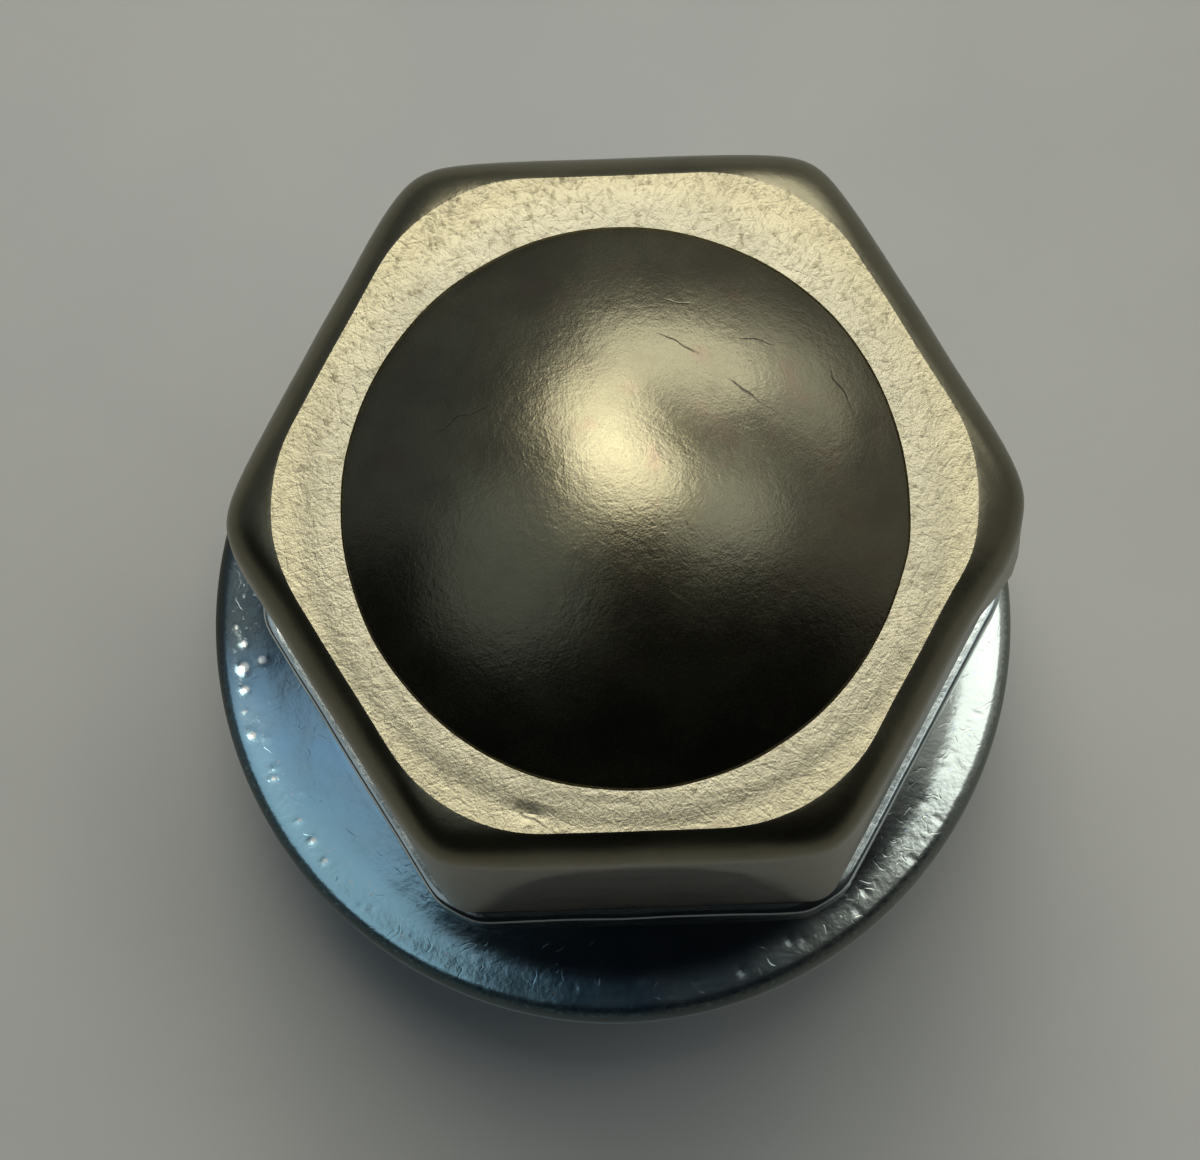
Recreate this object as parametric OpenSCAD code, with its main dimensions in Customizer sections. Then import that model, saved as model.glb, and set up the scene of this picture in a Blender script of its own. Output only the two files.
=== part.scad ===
// Capped wheel nut: a steel hexagon nut with a pressed stainless cap over its
// upper hexagon and a loose conical washer held captive on its shank.
// Millimetres, +Z up. The origin is on the nut's thread axis, on the plane
// that the nut stands on. Two flats of the hexagon face +Y and -Y.

/* [Cap] */
// Size of the cap across its flats
cap_af = 18.4; // [17.5:0.1:18.8]
// Thickness of the cap's sheet
cap_wall = 0.5; // [0.35:0.05:0.6]
// Height from the skirt's edge up to the flat shoulder
cap_skirt_h = 16.8; // [12:0.1:20]
// Radius of the skirt's upright corners at its edge
skirt_corner_r = 0.9; // [0.8:0.05:2]
// Distance from its sharp corner at which a flat starts to turn, under the shoulder
corner_runout = 3.5; // [2:0.1:4.5]
// How tightly the corners turn under the shoulder, where 0.87 is a plain arc
corner_tightness = 3.6; // [0.9:0.1:5]
// Radius of the corners of the flat shoulder
shoulder_corner_r = 4.6; // [3.5:0.1:6]
// How far the shoulder's crisp edge lies inside the flats
shoulder_inset = 0.74; // [0.6:0.01:1]
// Slope at which the bend down to the flats leaves that edge, in degrees
shoulder_slope = 20; // [10:1:30]
// Diameter of the dome where it rises from the shoulder
dome_d = 14.55; // [13:0.05:15.5]
// Height of the dome above the shoulder
dome_h = 2.75; // [1.5:0.05:4]

/* [Nut] */
// Size of the exposed hexagon across its flats, which is the wrench size
hex_af = 19; // [18.9:0.05:19.5]
// Height of the exposed hexagon
hex_h = 3.3; // [2.5:0.1:5]
// Diameter that the exposed hexagon's corners are turned down to
hex_corner_d = 21.2; // [20.6:0.1:21.8]
// Chamfer along the top of the exposed hexagon
ledge_chamfer = 0.15; // [0.05:0.05:0.25]
// Diameter of the round collar under the hexagon
collar_d = 18; // [17.4:0.1:18.4]
// Height of the round collar
collar_h = 1.35; // [0.8:0.05:2]
// Nominal diameter of the thread, to the bottom of its grooves
thread_d = 12; // [11:0.1:12.4]
// Pitch of the thread, and the depth of the lead-in at the top
thread_pitch = 1.5; // [1:0.25:1.75]
// Outside diameter of the shank that passes through the washer
shank_d = 14.6; // [14.3:0.05:14.9]
// Diameter of the flared lip that keeps the washer on
lip_d = 16.9; // [16.6:0.05:17.1]
// Thickness of the flared lip
lip_wall = 0.95; // [0.7:0.05:1.1]
// Height of the straight edge of the flared lip
lip_edge = 0.4; // [0.3:0.05:0.6]

/* [Washer] */
// Diameter over the washer's rim
washer_d = 23.6; // [23.2:0.1:25]
// Full height of the washer
washer_h = 9.3; // [8.8:0.1:10.5]
// Diameter of the flat ring that the nut's collar bears on
face_d = 17.8; // [17.2:0.1:18.4]
// Slope of the top of the washer, in degrees
top_slope = 22; // [15:1:26]
// Slope of the flatter band next to the rim, in degrees
band_slope = 12; // [5:1:15]
// Width of the flatter band next to the rim
band_w = 0.8; // [0.5:0.1:1.1]
// Radius along the rim's edges
rim_r = 0.5; // [0.3:0.05:0.6]
// Least height of the rim's upright edge
rim_edge_h = 1; // [0.6:0.1:1.2]
// Included angle of the tapered seat below the rim, in degrees
seat_angle = 60; // [56:1:64]
// Wall at the small end of the seat
seat_wall = 0.9; // [0.7:0.05:1]
// How far the small end of the seat closes in under the flared lip
seat_cover = 1.25; // [0.8:0.05:1.6]
// Diameter of the hole for the shank
washer_bore_d = 16.2; // [16.1:0.05:16.4]
// Thickness of the ring round the hole
ring_t = 2.3; // [1.8:0.1:2.6]
// Direction that the loose washer has slipped to, in degrees from +X
slip_dir = 205.5; // [0:0.5:359.5]

/* [Fits] */
// Gap between the cap's sheet and the hexagon inside it
cap_gap = 0.03; // [0.02:0.01:0.05]
// Gap between the collar and the washer
thrust_gap = 0.05; // [0.03:0.01:0.1]
// Gap left where the washer leans on the shank
slip_gap = 0.1; // [0.05:0.01:0.15]
// Up and down play of the washer on the shank
axial_play = 0.3; // [0.2:0.05:0.4]

/* [Hidden] */
$fn = 96;
eps = 0.05;          // how far a cut runs past the face it opens
break_r = 0.15;      // small chamfer that breaks a turned edge
corner_share = 1 / cos(30) - 1;  // how much a corner radius takes off a hexagon's corner
corner_steps = 10;   // straight pieces in each rounded corner
wall_steps = 12;     // rings up the cap's flats
bend_steps = 6;      // rings round the cap's shoulder bend
corner_power = 1.3;  // how fast the corners open out towards the shoulder
arc_weight = cos(30);  // weight of a hexagon's corner point that gives a plain arc
round_steps = 8;     // straight pieces in a small turned radius

// Heights, from the plane that the nut stands on
collar_z = washer_h + thrust_gap;
hex_z = collar_z + collar_h;
ledge_z = hex_z + hex_h;
shoulder_z = ledge_z + cap_skirt_h;

// Cap
cap_a = cap_af / 2;
cap_in_a = cap_a - cap_wall;
cap_in_z = shoulder_z - cap_wall;
bend_r = shoulder_inset / (1 - sin(shoulder_slope));
bend_z = shoulder_z - bend_r * cos(shoulder_slope);  // where the bend leaves the flats
dome_r = dome_d / 2;
dome_sphere_r = (dome_r * dome_r + dome_h * dome_h) / (2 * dome_h);
dome_centre_z = shoulder_z + dome_h - dome_sphere_r;

// Nut
core_a = cap_in_a - cap_gap;
core_top_z = cap_in_z - cap_gap;
core_corner_gap = 0.25;  // the upper hexagon's turned corners inside the cap's, at the foot
core_bevel_w = 1;        // width of the bevel round the top of the upper hexagon
core_bevel_h = 1.3;      // and its height
hex_a = hex_af / 2;
thread_r = thread_d / 2;
shank_r = shank_d / 2;
lip_r = lip_d / 2;
lip_top_z = washer_h - ring_t - axial_play;
lip_z = lip_top_z - (lip_r - shank_r) - lip_edge;
mouth_z = lip_top_z + (lip_wall + thread_r - shank_r);
lead_in = thread_pitch / 2;

// Washer
washer_r = washer_d / 2;
bore_r = washer_bore_d / 2;
slip = bore_r - shank_r - slip_gap;
recess_r = lip_r + slip + slip_gap + eps;
rim_mid_r = washer_r - rim_r;
band_in_r = rim_mid_r - band_w;
band_z = washer_h - (band_in_r - face_d / 2) * tan(top_slope);
rim_top_z = band_z - band_w * tan(band_slope);

// The seat's cone runs smoothly into the lower edge of the rim. Its small end is
// set by the lip, and is wider only where the rim's edge would get too low.
seat_slope = tan(seat_angle / 2);
cone_top_r = rim_mid_r + rim_r * cos(seat_angle / 2);
cone_top_z = min((cone_top_r - (lip_r - seat_cover + seat_wall)) / seat_slope,
                 rim_top_z - rim_r - rim_edge_h - rim_r * sin(seat_angle / 2));
rim_foot_z = cone_top_z + rim_r * sin(seat_angle / 2);
seat_r = cone_top_r - cone_top_z * seat_slope;
seat_in_r = seat_r - seat_wall;
// The recess keeps the lip clear of the hollow inside of the cone.
recess_foot_z = min(max((recess_r - seat_in_r) / seat_slope, eps), lip_z - slip_gap);

function mix(from, to, share) = from + (to - from) * share;

// One closed ring at height z: a hexagon with half its size across flats a,
// whose flats start to turn at the given distance from each sharp corner. The
// corner's curve is a conic, and weight is how strongly it is drawn out to the
// sharp corner.
function hex_ring(a, turn_in, weight, z) = [
    for (k = [0:5], i = [0:corner_steps])
        let (
            u = i / corner_steps,
            v = 1 - u,
            tip = [cos(60 * k), sin(60 * k)] * a / cos(30),
            start = tip + turn_in * [cos(60 * k - 120), sin(60 * k - 120)],
            end = tip + turn_in * [cos(60 * k + 120), sin(60 * k + 120)],
            p = (v * v * start + 2 * weight * u * v * tip + u * u * end)
                / (v * v + 2 * weight * u * v + u * u)
        )
        [p[0], p[1], z]
];

// One ring of the cap's sheet. Its corners are small arcs at the skirt's edge,
// open out upwards but stay tight, as drawn sheet does, and turn into broad
// arcs round the bend, whose turn is 0 where it leaves the flats.
function cap_ring(inset, turn, z) =
    let (
        bend = (1 - cos(turn)) / (1 - sin(shoulder_slope)),
        up = min(max((z + inset - ledge_z) / cap_skirt_h, 0), 1),
        flat_turn_in = mix(skirt_corner_r * tan(30), corner_runout, pow(up, corner_power)),
        turn_in = mix(flat_turn_in, shoulder_corner_r * tan(30), bend) - inset * tan(30),
        weight = mix(mix(arc_weight, corner_tightness, up), arc_weight, bend)
    )
    hex_ring(cap_a - inset - (bend_r - inset) * (1 - cos(turn)), max(turn_in, 0.2), weight, z);

// Rings up the flats and round the bend, for the sheet's outside (inset 0) or
// its inside (inset is the sheet's thickness).
function cap_rings(inset, foot_z, top_z) =
    let (last_turn = asin((top_z - bend_z) / (bend_r - inset)))
    concat(
        [for (i = [0:wall_steps]) cap_ring(inset, 0, mix(foot_z, bend_z, i / wall_steps))],
        [for (i = [1:bend_steps])
            let (turn = last_turn * i / bend_steps)
            cap_ring(inset, turn, bend_z + (bend_r - inset) * sin(turn))]
    );

// A closed solid through a list of rings that have the same number of points.
module loft(rings) {
    n = len(rings[0]);
    last = len(rings) - 1;
    polyhedron(
        points = [for (ring = rings, p = ring) p],
        faces = concat(
            [[for (i = [0:n - 1]) i]],
            [for (j = [0:last - 1], i = [0:n - 1])
                [j * n + i, (j + 1) * n + i, (j + 1) * n + (i + 1) % n, j * n + (i + 1) % n]],
            [[for (i = [n - 1:-1:0]) last * n + i]]
        )
    );
}

// Part of a ball, from the height where it is as wide as foot_r up to its top.
module dome(ball_r, foot_z) {
    foot_r = sqrt(ball_r * ball_r - pow(foot_z - dome_centre_z, 2));
    edge = asin(foot_r / ball_r);
    rotate_extrude()
        polygon(concat(
            [[0, foot_z - eps], [foot_r, foot_z - eps]],
            [for (i = [0:12])
                let (turn = edge * (1 - i / 12))
                [ball_r * sin(turn), dome_centre_z + ball_r * cos(turn)]]
        ));
}

// Points of a quarter turn about (x, z), from one angle to another.
function arc(x, z, r, from, to) = [
    for (i = [0:round_steps])
        let (turn = from + (to - from) * i / round_steps)
        [x + r * cos(turn), z + r * sin(turn)]
];

// Thin drawn sheet: hexagonal skirt, bent shoulder and domed top.
module cap() {
    color([0.72, 0.70, 0.62])
    difference() {
        union() {
            loft(cap_rings(0, ledge_z, shoulder_z));
            dome(dome_sphere_r, shoulder_z);
        }
        loft(cap_rings(cap_wall, ledge_z - 1, cap_in_z));
        dome(dome_sphere_r - cap_wall, cap_in_z);
    }
}

// A hexagonal bar with two flats facing +Y and -Y.
module hex_bar(a, foot_z, top_z) {
    translate([0, 0, foot_z])
        cylinder(r = a / cos(30), h = top_z - foot_z, $fn = 6);
}

// The upper hexagon, hidden by the cap, with its corners turned down so that
// they clear the cap's rounded ones.
module core() {
    foot_r = core_a / cos(30) - core_corner_gap;
    head_r = core_a / cos(30) - corner_share * shoulder_corner_r - core_corner_gap / 2;
    intersection() {
        hex_bar(core_a, ledge_z - eps, core_top_z);
        rotate_extrude()
            polygon([[0, ledge_z - 1], [foot_r, ledge_z - 1], [foot_r, ledge_z],
                     [head_r, core_top_z - core_bevel_h],
                     [head_r - core_bevel_w, core_top_z], [0, core_top_z]]);
    }
}

// The exposed hexagon, with turned corners, chamfered below and along its top.
module drive_hex() {
    turned_r = hex_corner_d / 2;
    chamfer_r = hex_a - break_r;
    chamfer_h = (turned_r - chamfer_r) * tan(30);
    intersection() {
        hex_bar(hex_a, hex_z, ledge_z);
        rotate_extrude()
            polygon([[0, hex_z], [chamfer_r, hex_z], [turned_r, hex_z + chamfer_h],
                     [turned_r, ledge_z - 2 * break_r], [turned_r - 2 * break_r, ledge_z],
                     [0, ledge_z]]);
        union() {
            hex_bar(hex_a, hex_z, ledge_z - ledge_chamfer);
            hex_bar(hex_a - ledge_chamfer, hex_z, ledge_z);
        }
    }
}

// Collar, shank and the lip that is flared out under the washer's ring.
module shank() {
    rotate_extrude()
        polygon([[0, lip_z], [lip_r - break_r, lip_z], [lip_r, lip_z + break_r],
                 [lip_r, lip_z + lip_edge], [shank_r, lip_top_z], [shank_r, collar_z],
                 [collar_d / 2 - break_r, collar_z], [collar_d / 2, collar_z + break_r],
                 [collar_d / 2, hex_z + eps], [0, hex_z + eps]]);
}

// Threaded hole with a flared mouth and a lead-in at the top.
module thread_bore() {
    translate([0, 0, lip_z - eps])
        cylinder(r = thread_r, h = core_top_z - lip_z + 2 * eps);
    rotate_extrude()
        polygon([[0, lip_z - eps], [lip_r - lip_wall, lip_z - eps],
                 [lip_r - lip_wall, lip_z], [thread_r, mouth_z], [0, mouth_z]]);
    rotate_extrude()
        polygon([[0, core_top_z - lead_in], [thread_r, core_top_z - lead_in],
                 [thread_r + lead_in, core_top_z], [thread_r + lead_in, core_top_z + eps],
                 [0, core_top_z + eps]]);
}

// Forged nut: upper hexagon, exposed hexagon, collar, shank and flared lip.
module nut_body() {
    color([0.62, 0.66, 0.68])
    difference() {
        union() {
            core();
            drive_hex();
            shank();
        }
        thread_bore();
    }
}

// Loose conical washer: sloping top, rounded rim, tapered seat and a recess
// for the lip. It has slipped sideways by its play on the shank.
module washer() {
    color([0.55, 0.66, 0.76])
    translate([slip * cos(slip_dir), slip * sin(slip_dir), 0])
    rotate_extrude()
        polygon(concat(
            [[seat_in_r, 0], [seat_r - break_r, 0], [seat_r + break_r * seat_slope, break_r]],
            arc(rim_mid_r, rim_foot_z, rim_r, -seat_angle / 2, 0),
            arc(rim_mid_r, rim_top_z - rim_r, rim_r, 0, 90 - band_slope),
            [[band_in_r, band_z], [face_d / 2, washer_h],
             [bore_r + 2 * break_r, washer_h], [bore_r, washer_h - 2 * break_r],
             [bore_r, washer_h - ring_t], [recess_r, washer_h - ring_t],
             [recess_r, recess_foot_z]]
        ));
}

cap();
nut_body();
washer();
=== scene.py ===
"""Looks of a capped wheel nut with a loose conical washer.

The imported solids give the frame. The drawn sheet cap, the dinged washer, the
plated nut and its thread are modelled over them in metres, on the same axes:
+Z runs up the thread, and two flats of the hexagon face +Y and -Y.
"""
import logging
import math
import random
from dataclasses import dataclass
from enum import Enum
from typing import Callable, Iterable, Sequence

import bmesh
import bpy
from mathutils import Matrix, Vector, noise


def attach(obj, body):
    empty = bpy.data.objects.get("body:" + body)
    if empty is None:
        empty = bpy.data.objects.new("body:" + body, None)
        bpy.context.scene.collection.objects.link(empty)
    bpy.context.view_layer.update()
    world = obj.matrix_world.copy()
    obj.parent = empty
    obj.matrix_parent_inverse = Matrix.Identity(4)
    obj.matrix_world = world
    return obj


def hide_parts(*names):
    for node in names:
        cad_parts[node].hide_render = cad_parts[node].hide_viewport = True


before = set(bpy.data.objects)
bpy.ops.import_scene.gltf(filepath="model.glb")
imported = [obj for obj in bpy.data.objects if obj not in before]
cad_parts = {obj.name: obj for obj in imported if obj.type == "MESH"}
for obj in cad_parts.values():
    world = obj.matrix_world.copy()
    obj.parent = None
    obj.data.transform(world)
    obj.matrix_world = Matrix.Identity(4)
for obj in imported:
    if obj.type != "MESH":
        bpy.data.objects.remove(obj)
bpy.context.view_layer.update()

MM = 0.001
COS30 = math.cos(math.radians(30))
TAN30 = math.tan(math.radians(30))
WELD = 0.5e-6
DICE = random.Random(1559)
LOG = logging.getLogger("wheel_nut")

Pair = tuple[float, float]
Triple = tuple[float, float, float]
Profile = list[Pair]
Ring = list[Vector]
Socket = bpy.types.NodeSocket


class Body(Enum):
    """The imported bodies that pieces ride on."""

    NUT = "nut"
    LOOSE_WASHER = "loose_washer"


def mix(start: float, end: float, share: float) -> float:
    """Returns the value a share of the way from start to end."""
    return start + (end - start) * share


def ease(low: float, high: float, value: float) -> float:
    """Returns 0 below low, 1 above high, and a smooth step between them."""
    t = min(max((value - low) / (high - low), 0.0), 1.0)
    return t * t * (3 - 2 * t)


def toward(degrees: float) -> Vector:
    """Returns the flat vector of length 1 that points a way, in degrees from +X."""
    turn = math.radians(degrees)
    return Vector((math.cos(turn), math.sin(turn)))


def ripple(place: Vector, size: float, seed: float) -> float:
    """Gives soft noise in -1..1 at a place.

    Args:
        place: where, in metres.
        size: width of one ripple, in metres.
        seed: picks another pattern.

    Returns:
        The noise's value there.
    """
    return noise.noise(place / size + Vector((seed, 1.7 * seed, -seed)))


# ---------------------------------------------------------------- modelling


class Workpiece:
    """One mesh on the bench, shaped with edit-mode operators."""

    def __init__(self, name: str) -> None:
        """Keeps the name that the finished piece gets."""
        self.name = name
        self.obj: bpy.types.Object | None = None

    def take(self) -> None:
        """Names the new primitive and makes it the piece on the bench."""
        self.obj = bpy.context.object
        self.obj.name = self.name
        self.obj.data.name = self.name

    def only(self) -> None:
        """Leaves just this piece selected and active, in object mode."""
        if bpy.context.object and bpy.context.object.mode != "OBJECT":
            bpy.ops.object.mode_set(mode="OBJECT")
        bpy.ops.object.select_all(action="DESELECT")
        if self.obj:
            self.obj.select_set(True)
            bpy.context.view_layer.objects.active = self.obj

    def edit(self) -> None:
        """Opens this piece alone for editing."""
        self.only()
        bpy.ops.object.mode_set(mode="EDIT")

    def stack(self, rings: Sequence[Ring]) -> None:
        """Extrudes a circle ring by ring and lays each ring on its drawn curve.

        Args:
            rings: closed rings, all with the same number of points, from the
                inner pole out and round to the outer pole.
        """
        count = len(rings[0])
        self.only()
        bpy.ops.mesh.primitive_circle_add(vertices=count, radius=MM, fill_type="NOTHING")
        self.take()
        self.edit()
        bpy.ops.mesh.select_all(action="SELECT")
        mesh = bmesh.from_edit_mesh(self.obj.data)
        place = mesh.verts.layers.int.new("place")
        mesh.verts.ensure_lookup_table()
        for index, vert in enumerate(mesh.verts):
            vert[place] = index
            vert.co = rings[0][index]
        for ring in rings[1:]:
            bmesh.update_edit_mesh(self.obj.data)
            bpy.ops.mesh.extrude_edges_move()
            mesh = bmesh.from_edit_mesh(self.obj.data)
            place = mesh.verts.layers.int["place"]
            for vert in mesh.verts:
                if vert.select:
                    vert.co = ring[vert[place]]
        bmesh.update_edit_mesh(self.obj.data)

    def lathe(self, profile: Profile, steps: int, closed: bool = True) -> None:
        """Spins a profile of (radius, height) points once round the Z axis.

        Args:
            profile: points in millimetres, in order along the outline.
            steps: number of faces round the axis.
            closed: whether the last point joins the first.
        """
        count = len(profile)
        self.only()
        bpy.ops.mesh.primitive_circle_add(vertices=count, radius=MM, fill_type="NOTHING")
        self.take()
        self.edit()
        mesh = bmesh.from_edit_mesh(self.obj.data)
        mesh.verts.ensure_lookup_table()
        for vert, (radius, height) in zip(mesh.verts, profile):
            vert.co = Vector((radius * MM, 0, height * MM))
        if not closed:
            ends = {mesh.verts[0], mesh.verts[count - 1]}
            for edge in [e for e in mesh.edges if set(e.verts) == ends]:
                mesh.edges.remove(edge)
        bmesh.update_edit_mesh(self.obj.data)
        bpy.ops.mesh.select_all(action="SELECT")
        bpy.ops.mesh.spin(steps=steps, angle=2 * math.pi, center=(0, 0, 0), axis=(0, 0, 1))
        self.close_up()

    def close_up(self) -> None:
        """Merges doubled points, then turns every face outwards."""
        bpy.ops.mesh.select_all(action="SELECT")
        bpy.ops.mesh.remove_doubles(threshold=WELD)
        bpy.ops.mesh.normals_make_consistent(inside=False)
        bpy.ops.object.mode_set(mode="OBJECT")

    def sculpt(self, shift: Callable[[Vector], Vector]) -> None:
        """Moves every point by what shift gives for its place.

        Args:
            shift: takes a point's place and returns how far it moves.
        """
        for vert in self.obj.data.vertices:
            vert.co += shift(vert.co.copy())
        self.obj.data.update()

    def mark(self, name: str, share: Callable[[Vector], float]) -> None:
        """Stores a value at every point, for the finish to read.

        Args:
            name: the attribute's name.
            share: takes a point's place and returns its value.
        """
        values = self.obj.data.attributes.new(name, "FLOAT", "POINT")
        for index, vert in enumerate(self.obj.data.vertices):
            values.data[index].value = share(vert.co)

    def smooth(self, degrees: float) -> None:
        """Shades the piece smooth, apart from edges sharper than the angle."""
        self.only()
        bpy.ops.object.shade_smooth_by_angle(angle=math.radians(degrees))

    def deliver(self, body: Body, stands_for: Iterable[str] = ()) -> bpy.types.Object:
        """Hands the piece to the frame.

        Args:
            body: the body that it rides on.
            stands_for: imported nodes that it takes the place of.

        Returns:
            The finished object.
        """
        self.only()
        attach(self.obj, body.value)
        for node in stands_for:
            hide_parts(node)
        LOG.info("%s: %d faces, rides on %s", self.name, len(self.obj.data.polygons), body.value)
        return self.obj


# ---------------------------------------------------------------- the pieces


@dataclass(frozen=True)
class Dent:
    """A shallow dent pressed into an upward face, in millimetres."""

    x: float
    y: float
    reach: float
    depth: float

    def sink(self, x: float, y: float) -> float:
        """Returns how far the dent lowers the face at a place."""
        away = ((x - self.x) ** 2 + (y - self.y) ** 2) / self.reach ** 2
        return self.depth * math.exp(-away) if away < 9 else 0.0


@dataclass(frozen=True)
class Bulge:
    """A swelling of an upright wall, by its direction in degrees and its height in millimetres."""

    around: float
    spread: float
    push_out: float
    height: float
    rise: float

    def push(self, around: float, height: float) -> float:
        """Returns how far the bulge pushes the wall out at a place."""
        turn = (around - self.around + 180) % 360 - 180
        away = (turn / self.spread) ** 2 + ((height - self.height) / self.rise) ** 2
        return self.push_out * math.exp(-away) if away < 9 else 0.0


@dataclass
class DrawnCap:
    """The pressed sheet cap, in millimetres."""

    half_flats: float = 9.2
    wall: float = 0.5
    foot_z: float = 14.0
    shoulder_z: float = 30.8
    flat_half: float = 8.46
    edge_slope: float = 32.0
    foot_turn_in: float = 0.9 * TAN30
    top_turn_in: float = 3.5
    top_tightness: float = 3.6
    flat_turn_in: float = 4.6 * TAN30
    dome_r: float = 7.275
    dome_h: float = 2.75
    edge_rise: float = 0.5
    corner_steps: int = 16
    flat_steps: int = 22
    # Half width and height of the dark arch on each flat, a painted reflection.
    arch_half: float = 4.8
    arch_h: float = 15.4
    bulges: tuple[Bulge, ...] = (Bulge(-9.5, 6.0, 0.36, 27.2, 2.6), Bulge(184.0, 6.0, 0.10, 27.5, 2.5))
    dents: tuple[Dent, ...] = (
        Dent(1.95, 3.05, 1.1, 0.024), Dent(-1.4, 1.0, 0.9, -0.012), Dent(3.3, 1.2, 1.0, 0.014),
        Dent(-4.15, 5.75, 0.16, 0.05), Dent(-2.75, -7.85, 0.16, 0.07), Dent(-2.55, -8.0, 0.14, 0.06),
        Dent(6.5, 1.7, 0.35, 0.02))
    name: str = "drawn_cap"

    def hex_ring(self, half: float, turn_in: float, weight: float, height: float) -> Ring:
        """Draws a hexagon with conic corners.

        Args:
            half: half its size across flats.
            turn_in: how far from the sharp corner each flat starts to turn.
            weight: how strongly the curve is drawn out to the sharp corner.
            height: its height.

        Returns:
            The closed ring's points, in metres.
        """
        ring: Ring = []
        for k in range(6):
            tip = toward(60 * k) * half / COS30
            before, after = (tip + turn_in * toward(60 * k + side) for side in (-120, 120))
            far = toward(60 * k + 60) * half / COS30 + turn_in * toward(60 * k - 60)
            points = []
            for i in range(self.corner_steps + 1):
                u = i / self.corner_steps
                v = 1 - u
                drawn = 2 * weight * u * v
                points.append((before * v * v + tip * drawn + after * u * u) / (v * v + drawn + u * u))
            points += [after.lerp(far, i / self.flat_steps) for i in range(1, self.flat_steps)]
            ring += [Vector((point.x, point.y, height)) * MM for point in points]
        return ring

    @property
    def bend_r(self) -> float:
        """Outer radius of the bend, which meets the shoulder's crisp edge at its slope."""
        return (self.half_flats - self.flat_half) / (1 - math.sin(math.radians(self.edge_slope)))

    @property
    def bend_z(self) -> float:
        """Height at which the flats start to bend."""
        return self.shoulder_z - self.bend_r * math.cos(math.radians(self.edge_slope))

    def sheet_ring(self, inset: float, turn: float, height: float) -> Ring:
        """Draws one ring of the sheet's skirt or bend.

        Args:
            inset: how far inside the outer faces it lies.
            turn: how far round the bend it is, in degrees from the flats.
            height: its height, which the bend overrides where turn is not 0.

        Returns:
            The closed ring's points, in metres.
        """
        radius = self.bend_r - inset
        gone = 1 - math.cos(math.radians(turn))
        bend = gone / (1 - math.sin(math.radians(self.edge_slope)))
        if turn:
            height = self.bend_z + radius * math.sin(math.radians(turn))
        up = min(max((height + inset - self.foot_z) / (self.shoulder_z - self.foot_z), 0), 1)
        turn_in = mix(mix(self.foot_turn_in, self.top_turn_in, up ** 1.3), self.flat_turn_in, bend)
        weight = mix(mix(COS30, self.top_tightness, up), COS30, bend)
        return self.hex_ring(self.half_flats - inset - radius * gone, max(turn_in - inset * TAN30, 0.2), weight, height)

    def round_ring(self, radius: float, height: float, like: Ring) -> Ring:
        """Draws a round ring whose points lie on the same rays as another's.

        Args:
            radius: its radius.
            height: its height.
            like: the ring whose points give the rays.

        Returns:
            The closed ring's points, in metres.
        """
        return [Vector((p.x, p.y, 0)).normalized() * radius * MM + Vector((0, 0, height * MM)) for p in like]

    def blend_ring(self, start: Ring, end: Ring, share: float) -> Ring:
        """Returns the ring a share of the way from one ring to another."""
        return [a.lerp(b, share) for a, b in zip(start, end)]

    def dome_rings(self, ball_r: float, centre_z: float, foot_r: float, like: Ring, steps: int) -> list[Ring]:
        """Draws the rings of a dome from its foot up to its pole.

        Args:
            ball_r: radius of the ball that it is part of.
            centre_z: height of the ball's centre.
            foot_r: radius of the dome's foot.
            like: a ring whose points give the rays.
            steps: number of rings.

        Returns:
            The rings, the last one shrunk to the pole.
        """
        edge = math.asin(foot_r / ball_r)
        rings = []
        for i in range(steps + 1):
            turn = edge * (1 - i / steps)
            rings.append(self.round_ring(ball_r * math.sin(turn), centre_z + ball_r * math.cos(turn), like))
        return rings

    def rings(self) -> list[Ring]:
        """Draws the whole sheet, from the pole inside to the pole outside."""
        ball_r = (self.dome_r ** 2 + self.dome_h ** 2) / (2 * self.dome_h)
        centre_z = self.shoulder_z + self.dome_h - ball_r
        in_r, in_z = ball_r - self.wall, self.shoulder_z - self.wall
        in_foot = math.sqrt(in_r ** 2 - (in_z - centre_z) ** 2)
        in_end = math.degrees(math.asin((in_z - self.bend_z) / (self.bend_r - self.wall)))
        in_edge = self.sheet_ring(self.wall, in_end, 0)
        inside = self.dome_rings(in_r, centre_z, in_foot, in_edge, 10)[::-1]
        inside.append(self.blend_ring(inside[-1], in_edge, 0.5))
        inside += [self.sheet_ring(self.wall, in_end * i / 6, 0) for i in range(6, 0, -1)]
        inside += [self.sheet_ring(self.wall, 0, mix(self.foot_z + 0.08, self.bend_z, i / 12))
                   for i in range(12, -1, -1)]
        edge_r = 0.1
        lip = [self.sheet_ring(self.wall - 0.04, 0, self.foot_z)]
        for i in range(0, 5):
            turn = math.radians(22.5 * i)
            lip.append(self.sheet_ring(edge_r * (1 - math.sin(turn)), 0, self.foot_z + edge_r * (1 - math.cos(turn))))
        outside = [self.sheet_ring(0, 0, mix(self.foot_z + edge_r, self.bend_z, i / 44)) for i in range(1, 45)]
        outside += [self.sheet_ring(0, (90 - self.edge_slope) * i / 20, 0) for i in range(1, 21)]
        shoulder = outside[-1]
        crease = self.round_ring(self.dome_r + 0.05, self.shoulder_z, shoulder)
        outside.append(self.blend_ring(shoulder, crease, 0.02))
        for i in range(1, 13):
            outside.append(self.blend_ring(shoulder, crease, i / 12))
        outside.append(self.round_ring(self.dome_r + 0.035, self.shoulder_z - 0.04, shoulder))
        outside.append(self.round_ring(self.dome_r + 0.01, self.shoulder_z - 0.06, shoulder))
        outside += self.dome_rings(ball_r, centre_z, self.dome_r - 0.01, shoulder, 56)
        return inside + lip + outside

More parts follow.
